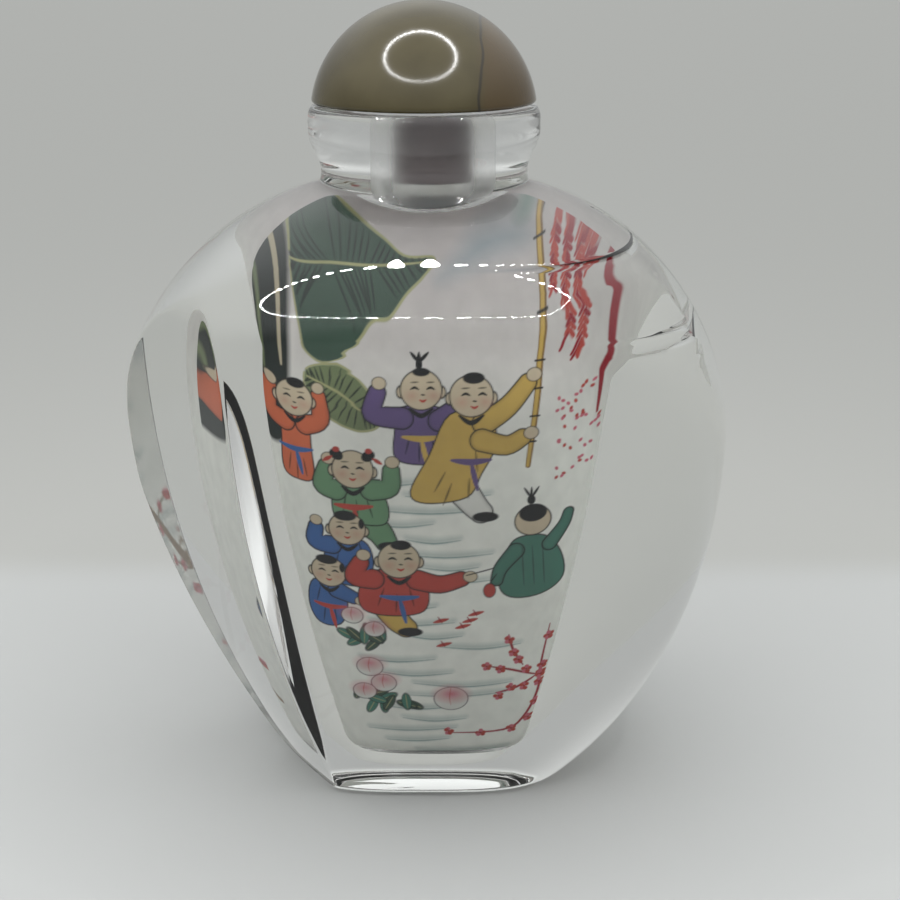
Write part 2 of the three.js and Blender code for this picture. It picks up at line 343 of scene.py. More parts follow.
def turned(name, profile, centre_x, sides=160):
    """Turned solid; the profile runs from the axis, up the outside and back to the axis."""
    vertices, faces = [], []
    inner = profile[1:-1]
    for radius, z in inner:
        for i in range(sides):
            a = 2 * math.pi * i / sides
            vertices.append((centre_x + radius * math.cos(a), radius * math.sin(a), z))
    faces = ring_faces(len(inner), sides)
    vertices += [(centre_x, 0, profile[0][1]), (centre_x, 0, profile[-1][1])]
    last = (len(inner) - 1) * sides
    for i in range(sides):
        j = (i + 1) % sides
        faces.append((len(vertices) - 2, j, i))
        faces.append((len(vertices) - 1, last + i, last + j))
    return new_object(name, np.array(vertices) * MM, faces)


def stopper_cap():
    low = math.asin((CAP_SEAT + CAP_EDGE_ROUNDING - CAP_CENTRE) / CAP_RADIUS)
    arc = [
        (CAP_RADIUS * math.cos(a), CAP_CENTRE + CAP_RADIUS * math.sin(a))
        for a in np.linspace(low, math.pi / 2, 72)[:-1]
    ]
    edge = arc[0][0]
    rounding = [
        (edge - CAP_EDGE_ROUNDING * (1 - math.sin(b)), CAP_SEAT + CAP_EDGE_ROUNDING * (1 - math.cos(b)))
        for b in np.linspace(0, math.pi / 2, 7)[:-1]
    ]
    seat = [(r, CAP_SEAT) for r in (3, 6, 9)]
    top = (0, CAP_CENTRE + CAP_RADIUS)
    return turned("stopper_dome", [(0, CAP_SEAT), *seat, *rounding, *arc, top], 0)


def stopper_plug():
    top = NECK_TOP
    bottom = top - PLUG_LENGTH
    rounding = [
        (PLUG_RADIUS - PLUG_END_ROUNDING * (1 - math.sin(b)), bottom + PLUG_END_ROUNDING * (1 - math.cos(b)))
        for b in np.linspace(0, math.pi / 2, 6)
    ]
    side = [(PLUG_RADIUS, z) for z in np.linspace(bottom + 1.2, top, 12)]
    ends = [(r, bottom) for r in (1.2, 2.4)]
    return turned("stopper_plug_turned", [(0, bottom), *ends, *rounding, *side, (0, top)], BORE_OFFSET, 96)


# ---------------------------------------------------------------- picture inside the hollow

# Colours of the picture, all but the ground's top colour PAPER_TOP as they look in even light. The ground runs
# darker and pinker towards the top
INK = (0.10, 0.10, 0.11)
SKIN = (0.80, 0.74, 0.64)
BLUSH = (0.76, 0.50, 0.44)
PAPER = (0.95, 0.955, 0.93)
PAPER_TOP = (0.77, 0.745, 0.74)
LEAF = (0.24, 0.33, 0.28)
LEAF_LIGHT = (0.45, 0.50, 0.36)
LEAF_EDGE = (0.66, 0.66, 0.48)
TRUNK = (0.14, 0.17, 0.16)
STALK = (0.74, 0.70, 0.60)
WASH = (0.50, 0.61, 0.60)
HILL = (0.52, 0.60, 0.64)
OCHRE = (0.80, 0.67, 0.35)
BAMBOO = (0.52, 0.40, 0.22)
RED = (0.72, 0.27, 0.23)
CRIMSON = (0.60, 0.10, 0.16)
PINK = (0.80, 0.42, 0.48)
ORANGE = (0.82, 0.42, 0.28)
PURPLE = (0.40, 0.33, 0.52)
GREEN = (0.42, 0.58, 0.44)
BLUE = (0.24, 0.40, 0.64)
TEAL = (0.28, 0.48, 0.42)
WHITE = (0.88, 0.88, 0.86)
EDGE_SOFTNESS = 0.05
LINE = 0.075


def linear(colour):
    return np.array([c / 12.92 if c < 0.04 else ((c + 0.055) / 1.055) ** 2.4 for c in colour])


class Picture:
    """Colours at the points of the sheet, painted over one another shape by shape."""

    def __init__(self, x, z):
        self.x, self.z = x, z
        # The ground goes from PAPER low down to the darker, pinker PAPER_TOP near the top
        height = smoothstep((z - 38) / 20)[:, None]
        self.colour = linear(PAPER) * (1 - height) + linear(PAPER_TOP) * height

    def near(self, left, right, low, high, margin):
        inside = (self.x > left - margin) & (self.x < right + margin)
        return np.nonzero(inside & (self.z > low - margin) & (self.z < high + margin))[0]

    def lay(self, index, cover, colour):
        cover = np.clip(cover, 0, 1)[:, None]
        self.colour[index] = self.colour[index] * (1 - cover) + linear(colour) * cover

    def oval(self, x, z, width, height, colour, turn=0, strength=1, outline=0, softness=EDGE_SOFTNESS):
        """Filled oval of these half sizes, with an ink line round it if outline is more than 0."""
        reach = max(width, height)
        index = self.near(x - reach, x + reach, z - reach, z + reach, 0.3 + softness)
        c, s = math.cos(math.radians(turn)), math.sin(math.radians(turn))
        dx, dz = self.x[index] - x, self.z[index] - z
        u, v = (dx * c + dz * s) / width, (dz * c - dx * s) / height
        away = (np.sqrt(u * u + v * v) - 1) * min(width, height)
        self.lay(index, strength * (0.5 - away / softness / 2), colour)
        if outline > 0:
            self.lay(index, 0.8 * (0.5 + (outline - np.abs(away)) / EDGE_SOFTNESS / 2), INK)

    def distance(self, points, index):
        """Distance from a line of points, and how far along it each nearest place is."""
        best = np.full(len(index), 1e9)
        along = np.zeros(len(index))
        lengths = [math.dist(a, b) for a, b in zip(points, points[1:])]
        total, passed = sum(lengths), 0
        for (ax, az), (bx, bz), length in zip(points, points[1:], lengths):
            px, pz = self.x[index] - ax, self.z[index] - az
            ux, uz = (bx - ax) / length, (bz - az) / length
            t = np.clip(px * ux + pz * uz, 0, length)
            away = np.hypot(px - t * ux, pz - t * uz)
            closer = away < best
            best = np.where(closer, away, best)
            along = np.where(closer, (passed + t) / total, along)
            passed += length
        return best, along

    def stroke(self, points, width, colour, taper=0.6, strength=1, softness=EDGE_SOFTNESS):
        """Brush stroke that thins towards both ends; width is its half width at the middle."""
        points = curve_through(points)
        xs, zs = [p[0] for p in points], [p[1] for p in points]
        index = self.near(min(xs), max(xs), min(zs), max(zs), width + 0.2)
        away, along = self.distance(points, index)
        half = width * (1 - taper * np.abs(2 * along - 1) ** 2)
        self.lay(index, strength * (0.5 + (half - away) / softness / 2), colour)

    def limb(self, points, start, end, colour, outline=LINE):
        """Sleeve or leg: a band from one half width to another with an ink outline."""
        points = curve_through(points)
        xs, zs = [p[0] for p in points], [p[1] for p in points]
        index = self.near(min(xs), max(xs), min(zs), max(zs), max(start, end) + 0.3)
        away, along = self.distance(points, index)
        rim = away - (start + (end - start) * along)
        self.lay(index, 0.5 - rim / EDGE_SOFTNESS / 2, colour)
        shade = [c * 0.72 for c in colour]
        self.lay(index, 0.45 * smoothstep(1 + rim / 0.5) * (rim < 0), shade)
        self.lay(index, 0.85 * (0.5 + (outline - np.abs(rim)) / EDGE_SOFTNESS / 2), INK)

    def patch(self, points, colour, outline=0, strength=1, softness=EDGE_SOFTNESS, bend=True):
        """Filled shape inside a closed line of points."""
        points = curve_through([*points, points[0]]) if bend else [*points, points[0]]
        xs, zs = [p[0] for p in points], [p[1] for p in points]
        index = self.near(min(xs), max(xs), min(zs), max(zs), 0.3 + softness)
        inside = np.zeros(len(index), bool)
        px, pz = self.x[index], self.z[index]
        for (ax, az), (bx, bz) in zip(points, points[1:]):
            if az != bz:
                crosses = (az > pz) != (bz > pz)
                inside ^= crosses & (px < ax + (pz - az) * (bx - ax) / (bz - az))
        away, _ = self.distance(points, index)
        away = np.where(inside, -away, away)
        self.lay(index, strength * (0.5 - away / softness / 2), colour)
        if outline > 0:
            self.lay(index, 0.85 * (0.5 + (outline - np.abs(away)) / EDGE_SOFTNESS / 2), INK)


def curve_through(points, pieces=5):
    """Smooth line through points, as a list of more points."""
    if len(points) < 3:
        return list(points)
    closed = points[0] == points[-1]
    first = points[-2] if closed else points[0]
    last = points[1] if closed else points[-1]
    padded = [first, *points, last]
    line = []
    for a, b, c, d in zip(padded, padded[1:], padded[2:], padded[3:]):
        for i in range(pieces):
            t = i / pieces
            line.append(tuple(
                b[k] + t * (c[k] - a[k]) / 2
                + t * t * (a[k] - 2.5 * b[k] + 2 * c[k] - d[k] / 2)
                + t**3 * (1.5 * (b[k] - c[k]) + (d[k] - a[k]) / 2)
                for k in (0, 1)
            ))
    return [*line, points[-1]]


def head(picture, x, z, size, hair, gaze=0.0):
    """A generic child's head: round face, cheeks, small eyes, nose and mouth, and one kind of hair."""
    picture.oval(x - 0.98 * size, z - 0.1 * size, 0.2 * size, 0.28 * size, SKIN, outline=LINE)
    picture.oval(x + 0.98 * size, z - 0.1 * size, 0.2 * size, 0.28 * size, SKIN, outline=LINE)
    picture.oval(x, z, size, 0.96 * size, SKIN, outline=LINE)
    for side in (-1, 1):
        cheek = x + (0.52 * side + 0.2 * gaze) * size
        eye = x + (0.38 * side + 0.25 * gaze) * size
        picture.oval(cheek, z - 0.28 * size, 0.3 * size, 0.24 * size, BLUSH, strength=0.35, softness=0.3)
        lid = [(eye - 0.19 * size, z + 0.04 * size), (eye, z + 0.12 * size)]
        lid.append((eye + 0.19 * size, z + 0.03 * size))
        picture.stroke(lid, 0.06 * size, INK)
        brow = [(eye - 0.2 * size, z + 0.36 * size), (eye + 0.18 * size, z + 0.38 * size)]
        picture.stroke(brow, 0.04 * size, INK, strength=0.7)
    nose = x + 0.28 * gaze * size
    nose_tip = [(nose - 0.08 * size, z - 0.22 * size), (nose + 0.1 * size, z - 0.24 * size)]
    picture.stroke(nose_tip, 0.04 * size, INK)
    mouth = [(nose - 0.16 * size, z - 0.47 * size), (nose, z - 0.54 * size)]
    mouth.append((nose + 0.16 * size, z - 0.46 * size))
    picture.stroke(mouth, 0.06 * size, RED)
    if hair == "dot":
        picture.oval(x + 0.1 * size, z + 0.82 * size, 0.5 * size, 0.26 * size, INK)
    if hair == "topknot":
        picture.oval(x, z + 0.85 * size, 0.42 * size, 0.2 * size, INK)
        picture.oval(x - 0.1 * size, z + 1.2 * size, 0.16 * size, 0.3 * size, INK)
        for lean in (-0.5, -0.1, 0.35):
            tuft = [(x - 0.1 * size, z + 1.3 * size), (x + lean * size, z + 1.75 * size)]
            picture.stroke(tuft, 0.09 * size, INK)
    if hair == "tufts":
        for side in (-1, 1):
            tuft_x = x + 0.78 * side * size
            picture.oval(tuft_x, z + 0.72 * size, 0.34 * size, 0.26 * size, INK, turn=35 * side)
            ribbon = [(x + 1.0 * side * size, z + 0.6 * size), (x + 1.4 * side * size, z + 0.35 * size)]
            picture.stroke(ribbon, 0.1 * size, RED)
            picture.oval(x + 0.8 * side * size, z + 0.98 * size, 0.16 * size, 0.14 * size, RED)
    if hair == "fringe":
        picture.oval(x - 0.1 * size, z + 0.78 * size, 0.62 * size, 0.3 * size, INK)
        picture.oval(x + 0.78 * size, z + 0.35 * size, 0.16 * size, 0.3 * size, INK)


def boy(picture, x, z, size, hair, robe, body, arms=(), legs=(), sash=None, gaze=0.0, collar=True):
    """A generic child at play; the body is an outline round the robe, arms and legs are short lines."""
    for leg, colour in legs:
        picture.limb(leg, 0.75 * size, 0.55 * size, colour)
        end = leg[-1]
        picture.oval(end[0] + 0.2 * size, end[1] - 0.25 * size, 0.62 * size, 0.26 * size, INK)
    picture.patch(body, robe, outline=LINE)
    low = min(p[1] for p in body)
    folds = [(p[0] * 0.6 + x * 0.4, p[1] + 0.15 * (p[1] - z)) for p in body if p[1] < low + 1.6 * size]
    for i, (fx, fz) in enumerate(folds):
        top = (fx * 0.7 + x * 0.3, max(fz + 1.7 * size, low + size))
        picture.stroke([top, (fx, fz + 0.7 * size)], 0.05 * size, [c * 0.5 for c in robe], strength=0.8)
    if sash:
        middle = (low + z - size) / 2 + 0.1
        belt = [(x - 0.9 * size, middle), (x, middle - 0.2), (x + 0.9 * size, middle)]
        picture.stroke(belt, 0.16 * size, sash)
        picture.stroke([(x, middle - 0.2), (x + 0.3 * size, middle - 1.5 * size)], 0.13 * size, sash)
    for arm in arms:
        picture.limb(arm, 0.55 * size, 0.42 * size, robe)
        end, before = arm[-1], arm[-2]
        length = math.dist(end, before)
        step = [(e - b) / length * 0.45 * size for e, b in zip(end, before)]
        picture.oval(end[0] + step[0], end[1] + step[1], 0.34 * size, 0.3 * size, SKIN, outline=0.05)
    if collar:
        neckline = [(x - 0.55 * size, z - 0.9 * size), (x, z - 1.25 * size)]
        neckline.append((x + 0.55 * size, z - 0.9 * size))
        picture.stroke(neckline, 0.12 * size, INK)
    head(picture, x, z, size, hair, gaze)


VEIN_FACING = 0.55  # least cosine between a vein and the square of the midrib


def big_leaf(picture, rim, midrib, shade):
    """Banana leaf with a light edge, a midrib and dark veins across."""
    picture.patch(rim, shade, strength=0.95, softness=0.12)
    rim_line = curve_through([*rim, rim[0]])
    picture.stroke(rim_line[:-1], 0.12, LEAF_EDGE, taper=0.3, strength=0.8)
    rib = curve_through(midrib, 8)
    for i in range(1, len(rib) - 1):
        px, pz = rib[i]
        sx, sz = rib[i + 1][0] - rib[i - 1][0], rib[i + 1][1] - rib[i - 1][1]
        for side in (-1, 1):
            nx, nz = -sz * side, sx * side
            length = math.hypot(nx, nz)
            facing = [
                q for q in rim_line
                if (q[0] - px) * nx + (q[1] - pz) * nz > VEIN_FACING * length * math.dist(q, (px, pz))
            ]
            if facing:
                tip = min(facing, key=lambda q: math.dist(q, (px, pz)))
                end = (px + 0.88 * (tip[0] - px), pz + 0.88 * (tip[1] - pz))
                picture.stroke([(px, pz), end], 0.1, TRUNK, taper=0.7, strength=0.75)
    picture.stroke(midrib, 0.12, LEAF_EDGE, taper=0.5)


def peach(picture, x, z, size):
    picture.oval(x, z, size, 0.86 * size, WHITE, outline=0.05)
    picture.oval(x + 0.05, z + 0.35 * size, 0.8 * size, 0.5 * size, PINK, strength=0.75, softness=0.6)
    seam = [(x, z + 0.85 * size), (x - 0.15, z + 0.1), (x, z - 0.5 * size)]
    picture.stroke(seam, 0.05, RED, strength=0.7)


def small_leaves(picture, x, z, spread, count, dice):
    for i in range(count):
        turn = dice.uniform(0, 360)
        dx, dz = dice.uniform(-spread, spread), dice.uniform(-0.5 * spread, 0.5 * spread)
        shade = LEAF if i % 2 else TEAL
        picture.oval(x + dx, z + dz, 1.1, 0.5, shade, turn=turn, outline=0.04)
        c, s = math.cos(math.radians(turn)), math.sin(math.radians(turn))
        vein = [(x + dx - 0.9 * c, z + dz - 0.9 * s), (x + dx + 0.9 * c, z + dz + 0.9 * s)]
        picture.stroke(vein, 0.045, LEAF_EDGE)


def blossoms(picture, places, dice):
    for x, z in places:
        for i in range(5):
            a = math.radians(72 * i + dice.uniform(0, 40))
            shade = PINK if i % 2 else RED
            picture.oval(x + 0.32 * math.cos(a), z + 0.32 * math.sin(a), 0.24, 0.24, shade)
        picture.oval(x, z, 0.12, 0.12, CRIMSON)


def paint_front(picture):
    """Children playing below banana leaves, with strings of firecrackers on a bamboo pole."""
    dice = np.random.default_rng(7)
    # Hills, ground washes and petals
    hill = [(1.5, 55.5), (3.2, 57.6), (4.8, 59.2), (7.5, 59.4), (9.6, 58.6), (9.8, 57.2), (6.5, 56.8)]
    picture.patch(hill, HILL, strength=0.55, softness=1.0)
    picture.oval(9.4, 59.3, 0.9, 0.6, TEAL, strength=0.7, softness=0.5)
    for z in np.arange(6.6, 40.5, 1.55):
        start = dice.uniform(-9, 3) * (0.55 + z / 90)
        length = dice.uniform(5, 10)
        rise = dice.uniform(-0.25, 0.25)
        line = [(start, z), (start + length / 2, z - 0.35 + rise), (start + length, z + rise)]
        picture.stroke(line, 0.3, WASH, strength=0.5, softness=0.35)
        picture.stroke([(p[0], p[1] - 0.28) for p in line], 0.08, WASH, strength=0.8)
    for _ in range(46):
        x, z = dice.uniform(12.6, 16.6), dice.uniform(38.4, 47.6)
        picture.oval(x, z, 0.2, 0.15, RED if dice.uniform() < 0.4 else PINK, turn=dice.uniform(0, 180))
    # Banana plant
    trunk = [(-16.6, 56.5), (-12.6, 57.6), (-12.4, 50), (-12.9, 44), (-13.6, 41.5), (-15.8, 42), (-16.4, 49)]
    picture.patch(trunk, TRUNK, strength=0.92, softness=0.25)
    picture.stroke([(-14.2, 57.5), (-13.5, 54.2), (-13.2, 49)], 0.22, STALK)
    picture.stroke([(-15.4, 57.5), (-14.8, 52), (-14.9, 45)], 0.14, LEAF_LIGHT, strength=0.7)
    upper_rim = [
        (-12.2, 54.4), (-11.4, 57.6), (-9.4, 59.2), (-6.6, 59.4), (-3.8, 58.6), (-1.6, 57.4), (1.1, 57.3),
        (0.2, 55.9), (-1.4, 54.6), (-3.0, 53.1), (-4.6, 52.8), (-6.3, 51.6), (-9.3, 50.0), (-11.6, 51.6),
    ]
    big_leaf(picture, upper_rim, [(-12.2, 54.0), (-8.6, 55.7), (-4.4, 56.4), (0.8, 57.0)], LEAF)
    lower_rim = [
        (-10.9, 49.2), (-8.6, 49.9), (-6.2, 49.0), (-4.6, 47.0), (-4.0, 44.6), (-5.6, 43.8), (-7.8, 44.3),
        (-9.7, 45.6), (-10.9, 47.2),
    ]
    big_leaf(picture, lower_rim, [(-10.8, 48.6), (-7.9, 47.4), (-4.4, 44.9)], LEAF_LIGHT)
    # Bamboo pole with firecrackers, and a branch
    pole = [(10.4, 59), (11.1, 53.3), (10.9, 50.2), (10.7, 46.6), (10.0, 40.2)]
    picture.stroke(pole, 0.32, BAMBOO, taper=0.2)
    picture.stroke([(x - 0.04, z) for x, z in pole], 0.17, OCHRE, taper=0.2)
    for z in (57.3, 55, 52.6, 50.2, 47.7, 45.1, 42.6):
        x = float(np.interp(z, [40.2, 46.6, 50.2, 53.3, 59], [10, 10.7, 10.9, 11.1, 10.4]))
        picture.stroke([(x - 0.42, z), (x + 0.42, z)], 0.09, INK, taper=0)
    picture.stroke([(10.8, 58.2), (11.8, 58.6), (13, 57.6)], 0.09, INK)
    for x, top, low in ((11.9, 57.8, 53.6), (12.9, 57.2, 51.2), (13.9, 56.4, 50.2), (14.6, 55.2, 53)):
        picture.stroke([(x, top), (x + 0.25, low)], 0.06, INK)
        for z in np.arange(low, top, 0.42):
            for side in (-1, 1):
                lean = side * 0.3 + dice.uniform(-0.1, 0.1)
                shade = CRIMSON if dice.uniform() < 0.4 else RED
                picture.stroke([(x + 0.1, z), (x + 0.1 + lean, z - 0.5)], 0.13, shade, taper=0.2)
    picture.stroke([(16.6, 56), (16.2, 53), (15.9, 51), (16.3, 47), (16.2, 44)], 0.2, CRIMSON, taper=0.5)
    # Children, the further ones first
    boy(picture, -12.1, 46.3, 1.75, "dot", ORANGE,
        [(-13.2, 44.8), (-11, 44.8), (-10.6, 41.5), (-10.5, 38.6), (-12, 38.2), (-13.4, 38.9), (-13.5, 42)],
        arms=[[(-13.1, 43.9), (-14.6, 44.6), (-14.4, 46.6)], [(-11.1, 43.9), (-9.7, 44.6), (-9.8, 46.8)]],
        sash=BLUE)
    boy(picture, -0.1, 47.9, 1.95, "topknot", PURPLE,
        [(-2.2, 46.2), (1.8, 46.2), (2.6, 43.5), (2.2, 41), (-0.5, 40.6), (-2.6, 41.3), (-2.6, 44)],
        arms=[[(-1.9, 45.2), (-4.6, 45.6), (-4.2, 47.6)], [(1.6, 45), (2.7, 46)]], sash=OCHRE, gaze=0.3)
    boy(picture, 4.6, 47.3, 2.05, "dot", OCHRE,
        [(2.6, 45.6), (6.3, 45.6), (6.9, 42.5), (5.6, 39.6), (4.2, 37.2), (0.2, 36.6), (-1.2, 37.8),
         (0.6, 41.5)],
        arms=[[(5.8, 44.7), (8, 46.2), (9.8, 48.3)], [(5.6, 43), (7.9, 42.4), (9.4, 43.1)]],
        legs=[([(3.6, 38.2), (4.9, 36.4), (5.6, 35.6)], WHITE)], sash=PURPLE, gaze=0.5)
    boy(picture, -6.7, 39.9, 2.0, "tufts", GREEN,
        [(-8.5, 38.6), (-4.8, 38.6), (-3.4, 36.5), (-3.6, 34.4), (-6, 34.2), (-8.4, 34.8), (-8.8, 36.8)],
        arms=[[(-4.9, 37.9), (-3.2, 38.2), (-3.0, 39.9)], [(-8.4, 37.7), (-9.6, 38.2), (-9.2, 40)]],
        legs=[([(-5.4, 34.6), (-4.2, 33.4), (-3.6, 32.4)], GREEN)], sash=RED)
    boy(picture, -7.4, 33.6, 1.8, "fringe", BLUE,
        [(-9, 32.4), (-5.8, 32.4), (-4.9, 30), (-5.8, 27.6), (-8, 27.4), (-9.6, 28.6), (-9.7, 31)],
        arms=[[(-9, 31.7), (-10.6, 31.9), (-10.5, 33.4)]])
    boy(picture, -9.4, 28.6, 1.75, "fringe", BLUE,
        [(-11, 27.4), (-8.2, 27.4), (-7.6, 25), (-8.4, 22.6), (-10.6, 22.4), (-11.6, 24.4)],
        arms=[[(-8.6, 26.6), (-7, 25.9)]], sash=RED)
    boy(picture, -2.4, 30.4, 2.05, "dot", RED,
        [(-4.8, 29.2), (-0.6, 29.2), (0.5, 27), (0, 24.6), (-3, 24), (-6, 24.6), (-6.4, 27)],
        arms=[[(-0.6, 28.2), (1.6, 27.7), (3.7, 28.3)], [(-5, 28.2), (-6.8, 28.4), (-6.2, 30)]],
        legs=[([(-3.4, 24.8), (-2.6, 23.4), (-1.8, 22.6)], OCHRE)], sash=BLUE, gaze=0.3)
    picture.stroke([(4.2, 28.7), (7.5, 29.6)], 0.07, INK, taper=0.2)
    # One child seen from behind
    robe = [(9.1, 32.6), (11.8, 32.6), (13.4, 30.4), (13.7, 27.4), (11.6, 26), (8.6, 26), (7.4, 27.6), (8, 30.8)]
    picture.patch(robe, TEAL, outline=LINE)
    picture.limb([(9, 31.2), (7.6, 29.4), (7.2, 28)], 0.85, 0.6, TEAL)
    picture.limb([(12.3, 31.6), (13.6, 33.4), (14, 34.6)], 0.75, 0.5, TEAL)
    for x in (9.6, 10.6, 11.6):
        picture.stroke([(x, 31.6), (x + 0.3, 27.2)], 0.06, TRUNK, strength=0.7)
    picture.oval(10.6, 34.4, 1.75, 1.6, SKIN, outline=LINE)
    picture.oval(10.6, 35.2, 1.35, 0.95, INK)
    picture.oval(10.4, 36.6, 0.4, 0.5, INK)
    for lean in (-0.7, 0, 0.7):
        picture.stroke([(10.4, 36.8), (10.4 + lean, 37.9)], 0.13, INK)
    # Lantern, firecracker bits, fruit and plum blossom
    picture.oval(6.5, 26.9, 0.6, 0.8, RED, outline=0.05)
    picture.stroke([(6.5, 27.7), (7.2, 28.8)], 0.06, INK)
    for x, z in ((1.7, 23.4), (4.6, 23.4), (5.2, 24.2), (2.0, 20.5), (3.9, 22.7)):
        picture.stroke([(x - 0.7, z - 0.15), (x + 0.7, z + 0.25)], 0.22, RED)
        picture.stroke([(x - 0.3, z + 0.5), (x + 0.1, z - 0.2)], 0.08, CRIMSON)
    small_leaves(picture, -5.4, 21.6, 2.6, 9, dice)
    peach(picture, -7.2, 23.8, 1.1)
    peach(picture, -5.0, 22.3, 1.05)
    small_leaves(picture, -4.2, 13.2, 3.0, 12, dice)
    peach(picture, -5.6, 17.6, 1.35)
    peach(picture, -4.2, 15.6, 1.3)
    peach(picture, -6.2, 14.4, 1.2)
    peach(picture, 2.7, 13.6, 1.75)
    branches = [[(6.5, 17.7), (9, 17), (11.8, 15.7)], [(8.5, 21.5), (9, 19.5), (10, 17.5)],
                [(7.3, 14.2), (9.4, 14.7), (11.6, 16)],
                [(12.6, 22), (11.8, 17.2), (11.5, 13.6), (10.1, 10.4), (8.1, 9), (2.2, 8.9)]]
    for branch in branches:
        picture.stroke(branch, 0.15, CRIMSON, strength=0.9)
    line = [p for branch in branches for p in curve_through(branch, 3)]
    places = [(x + dice.uniform(-0.5, 0.5), z + dice.uniform(-0.5, 0.5)) for x, z in line[::2]]
    blossoms(picture, places, dice)


def paint_back(picture):
    """A plainer side: hills, water and a flowering branch."""
    dice = np.random.default_rng(11)
    hills = [(-13, 44), (-9, 50), (-5, 47.5), (-1, 53), (4, 48.5), (8, 51), (13, 45), (6, 44.2), (-4, 43.8)]
    picture.patch(hills, HILL, strength=0.6, softness=1.2)
    for z in np.arange(8, 42, 1.7):
        start = dice.uniform(-9, 2) * (0.55 + z / 90)
        line = [(start, z), (start + 4, z - 0.3), (start + 8, z)]
        picture.stroke(line, 0.3, WASH, strength=0.5, softness=0.35)
    branch = [(-9.5, 11), (-7.6, 17), (-6.4, 24), (-3, 30), (2, 34.5), (7.5, 41)]
    picture.stroke(branch, 0.45, BAMBOO)
    places = []
    for x, z in curve_through(branch, 3)[2:]:
        side = 1 if len(places) % 4 else -1
        tip = (x + side * dice.uniform(2, 4.5), z + dice.uniform(1, 3.5))
        picture.stroke([(x, z), tip], 0.14, BAMBOO)
        places += [tip, ((x + tip[0]) / 2, (z + tip[1]) / 2)]
    blossoms(picture, places, dice)
    small_leaves(picture, 2, 12, 4, 12, dice)
    peach(picture, 0.6, 12.6, 1.6)
    peach(picture, 3.4, 11.6, 1.5)


SHEET_LOW = 6.2
SHEET_HIGH = 60.1
SHEET_LIFT = 0.06


def sheet(name, face, low, high, rows, columns, paint, material):
    """Part of the picture as a thin skin just inside the glass of the hollow's front or back wall."""
    across = np.linspace(-math.pi / 2, math.pi / 2, columns)
    xs, ys, zs = [], [], []
    for z in np.linspace(low, high, rows):
        centre, width, depth, n = hollow_section(z)
        u = np.sin(across)
        xs.append(centre + (width + SHEET_LIFT) * u)
        ys.append(face * (depth + SHEET_LIFT) * np.clip(1 - np.abs(u) ** n, 0, 1) ** (1 / n))
        zs.append(np.full(columns, z))
    x, y, z = (np.concatenate(a) for a in (xs, ys, zs))
    picture = Picture(x, z)
    paint(picture)
    index = np.arange(rows * columns).reshape(rows, columns)
    a, b = index[:-1, :-1].ravel(), index[:-1, 1:].ravel()
    c, d = index[1:, 1:].ravel(), index[1:, :-1].ravel()
    order = (a, b, c, d) if face < 0 else (a, d, c, b)
    faces = np.stack(order, axis=1)
    mesh = bpy.data.meshes.new(name)
    mesh.from_pydata(np.stack([x, y, z], axis=1) * MM, [], faces.tolist())
    mesh.polygons.foreach_set("use_smooth", [True] * len(mesh.polygons))
    attribute = mesh.color_attributes.new("paint", "FLOAT_COLOR", "POINT")
    colours = np.concatenate([picture.colour, np.ones((len(x), 1))], axis=1)
    attribute.data.foreach_set("color", colours.astype(np.float32).ravel())
    mesh.update()
    obj = bpy.data.objects.new(name, mesh)
    bpy.context.scene.collection.objects.link(obj)
    mesh.materials.append(material)
    return obj


# ---------------------------------------------------------------- materials

def new_material(name):
    material = bpy.data.materials.new(name)
    material.use_nodes = True
    nodes, links = material.node_tree.nodes, material.node_tree.links
    return material, nodes, links, nodes["Principled BSDF"]


def clear_glass():
    material, nodes, links, shader = new_material("clear_glass")
    shader.inputs["Base Color"].default_value = (0.925, 0.93, 0.912, 1)
    shader.inputs["Transmission Weight"].default_value = 1
    shader.inputs["Roughness"].default_value = 0
    shader.inputs["IOR"].default_value = 1.5
    return material


def ground_glass():
    material, nodes, links, shader = new_material("ground_glass")
    shader.inputs["Base Color"].default_value = (0.97, 0.97, 0.96, 1)
    shader.inputs["Transmission Weight"].default_value = 1
    shader.inputs["Roughness"].default_value = 0.45
    shader.inputs["IOR"].default_value = 1.5
    return material


def noise_mix(nodes, links, low, high, scale, detail=4, stretch=(1, 1, 1), colours=None):
    """Procedural blend of two colours by a stretched noise; gives the mix node."""
    place = nodes.new("ShaderNodeTexCoord")
    mapping = nodes.new("ShaderNodeMapping")
    mapping.inputs["Scale"].default_value = stretch
    noise = nodes.new("ShaderNodeTexNoise")
    noise.inputs["Scale"].default_value = scale
    noise.inputs["Detail"].default_value = detail
    spread = nodes.new("ShaderNodeMapRange")
    spread.inputs["From Min"].default_value = low
    spread.inputs["From Max"].default_value = high
    mix = nodes.new("ShaderNodeMix")
    mix.data_type = "RGBA"
    mix.inputs["A"].default_value = (*colours[0], 1)
    mix.inputs["B"].default_value = (*colours[1], 1)
    links.new(place.outputs["Object"], mapping.inputs["Vector"])
    links.new(mapping.outputs["Vector"], noise.inputs["Vector"])
    links.new(noise.outputs["Fac"], spread.inputs["Value"])
    links.new(spread.outputs["Result"], mix.inputs["Factor"])
    return mix


